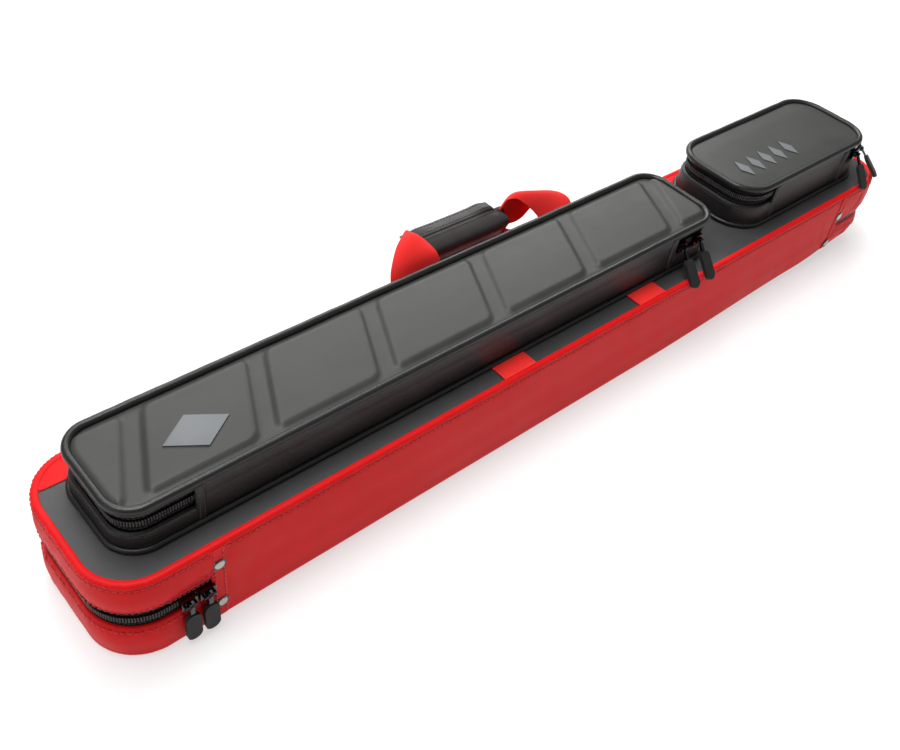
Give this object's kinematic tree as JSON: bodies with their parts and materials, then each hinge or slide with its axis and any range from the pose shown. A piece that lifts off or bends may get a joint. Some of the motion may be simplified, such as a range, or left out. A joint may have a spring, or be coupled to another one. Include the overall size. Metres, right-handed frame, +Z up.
{
  "type": "cue case",
  "caption": "Long soft cue case that opens like a book on a spine hinge, with two zipped pockets on its front and a wrapped webbing handle.",
  "frame": {"origin": "middle of the flat face that the closed case rests on", "axes": "+X along the case towards the end with the small pocket, +Y from the spine to the handle side, +Z up out of the front panel"},
  "size_m": [0.84, 0.158, 0.1159],
  "materials": {
    "red_leatherette": "satin, fine pebbled grain",
    "charcoal_leatherette": "matte, very fine grain",
    "black_leatherette": "satin",
    "moulded_shell": "matte moulded leatherette over foam",
    "red_webbing": "woven, slight sheen",
    "zip_tape": "woven tape with a nylon coil",
    "elastic": "matte ribbed elastic",
    "bed_fabric": "short nap",
    "dark_metal": "polished gunmetal",
    "rivet_steel": "polished nickel",
    "tab_rubber": "matte",
    "grey_badge": "matte"
  },
  "bodies": {
    "tray": {"tray_wall": "red_leatherette", "spine_lower": "red_leatherette", "back_panel": "charcoal_leatherette", "tray_zip": "zip_tape", "back_webbing": "red_webbing", "cue_bed": "bed_fabric", "hold_straps": "elastic", "tray_handle_strap": "red_webbing", "tray_rivets": "rivet_steel"},
    "lid": {"lid_wall": "red_leatherette", "spine_upper": "red_leatherette", "front_panel": "charcoal_leatherette", "lid_zip": "zip_tape", "front_webbing": "red_webbing", "handle_side_strip": "red_leatherette", "lid_liner": "bed_fabric", "lid_handle_strap": "red_webbing", "handle_wrap": "charcoal_leatherette", "lid_rivets": "rivet_steel", "long_base_wall": "black_leatherette", "long_base_piping": "black_leatherette", "long_base_zip": "zip_tape", "long_gusset_lower": "charcoal_leatherette", "small_base_wall": "black_leatherette", "small_base_piping": "black_leatherette", "small_base_zip": "zip_tape", "small_gusset_lower": "charcoal_leatherette"},
    "long_pocket_lid": {"long_lid_shell": "moulded_shell", "long_lid_piping": "charcoal_leatherette", "long_lid_zip": "zip_tape", "long_gusset_upper": "charcoal_leatherette", "long_lid_badge": "grey_badge"},
    "small_pocket_lid": {"small_lid_shell": "moulded_shell", "small_lid_piping": "charcoal_leatherette", "small_lid_zip": "zip_tape", "small_gusset_upper": "charcoal_leatherette", "small_lid_marks": "grey_badge"},
    "main_slide_1": {"main_slider_1": "dark_metal"},
    "main_pull_1": {"main_link_1": "dark_metal", "main_tab_1": "tab_rubber"},
    "main_slide_2": {"main_slider_2": "dark_metal"},
    "main_pull_2": {"main_link_2": "dark_metal", "main_tab_2": "tab_rubber"},
    "long_slide_1": {"long_slider_1": "dark_metal"},
    "long_pull_1": {"long_link_1": "dark_metal", "long_tab_1": "tab_rubber"},
    "long_slide_2": {"long_slider_2": "dark_metal"},
    "long_pull_2": {"long_link_2": "dark_metal", "long_tab_2": "tab_rubber"},
    "small_slide_1": {"small_slider_1": "dark_metal"},
    "small_pull_1": {"small_link_1": "dark_metal", "small_tab_1": "tab_rubber"},
    "small_slide_2": {"small_slider_2": "dark_metal"},
    "small_pull_2": {"small_link_2": "dark_metal", "small_tab_2": "tab_rubber"}
  },
  "joints": [
    {"name": "case_hinge", "type": "hinge", "parent": "tray", "child": "lid", "pos_m": [0, -0.066, 0.03775], "axis": [1, 0, 0], "range_deg": [0, 178]},
    {"name": "long_pocket_hinge", "type": "hinge", "parent": "lid", "child": "long_pocket_lid", "pos_m": [-0.104, -0.044, 0.0973], "axis": [1, 0, 0], "range_deg": [0, 125]},
    {"name": "small_pocket_hinge", "type": "hinge", "parent": "lid", "child": "small_pocket_lid", "pos_m": [0.2985, -0.045, 0.103], "axis": [1, 0, 0], "range_deg": [0, 125]},
    {"name": "main_slide_1", "type": "slide", "parent": "tray", "child": "main_slide_1", "axis": [1, 0, 0], "range_m": [-0.013, 0]},
    {"name": "main_pull_1", "type": "hinge", "parent": "main_slide_1", "child": "main_pull_1", "pos_m": [-0.3697, -0.0649, 0.03775], "axis": [1, 0, 0], "range_deg": [-110, 0]},
    {"name": "main_slide_2", "type": "slide", "parent": "tray", "child": "main_slide_2", "axis": [1, 0, 0], "range_m": [-0.0015, 0]},
    {"name": "main_pull_2", "type": "hinge", "parent": "main_slide_2", "child": "main_pull_2", "pos_m": [-0.3568, -0.0649, 0.03775], "axis": [1, 0, 0], "range_deg": [-110, 0]},
    {"name": "long_slide_1", "type": "slide", "parent": "lid", "child": "long_slide_1", "axis": [1, 0, 0], "range_m": [0, 0.009]},
    {"name": "long_pull_1", "type": "hinge", "parent": "long_slide_1", "child": "long_pull_1", "pos_m": [0.1087, -0.0429, 0.0973], "axis": [1, 0, 0], "range_deg": [-90, 0]},
    {"name": "long_slide_2", "type": "slide", "parent": "lid", "child": "long_slide_2", "axis": [1, 0, 0], "range_m": [0, 0.004]},
    {"name": "long_pull_2", "type": "hinge", "parent": "long_slide_2", "child": "long_pull_2", "pos_m": [0.1293, -0.0429, 0.0973], "axis": [1, 0, 0], "range_deg": [-90, 0]},
    {"name": "small_slide_1", "type": "hinge", "parent": "lid", "child": "small_slide_1", "pos_m": [0.369, -0.011, 0.103], "axis": [0, 0, 1], "range_deg": [0, 3]},
    {"name": "small_pull_1", "type": "hinge", "parent": "small_slide_1", "child": "small_pull_1", "pos_m": [0.37129, -0.04382, 0.103], "axis": [0.9976, 0.0698, 0], "range_deg": [-90, 0]},
    {"name": "small_slide_2", "type": "hinge", "parent": "lid", "child": "small_slide_2", "pos_m": [0.369, -0.011, 0.103], "axis": [0, 0, 1], "range_deg": [0, 55]},
    {"name": "small_pull_2", "type": "hinge", "parent": "small_slide_2", "child": "small_pull_2", "pos_m": [0.38643, -0.0389, 0.103], "axis": [0.848, 0.5299, 0], "range_deg": [-80, 0]}
  ]
}
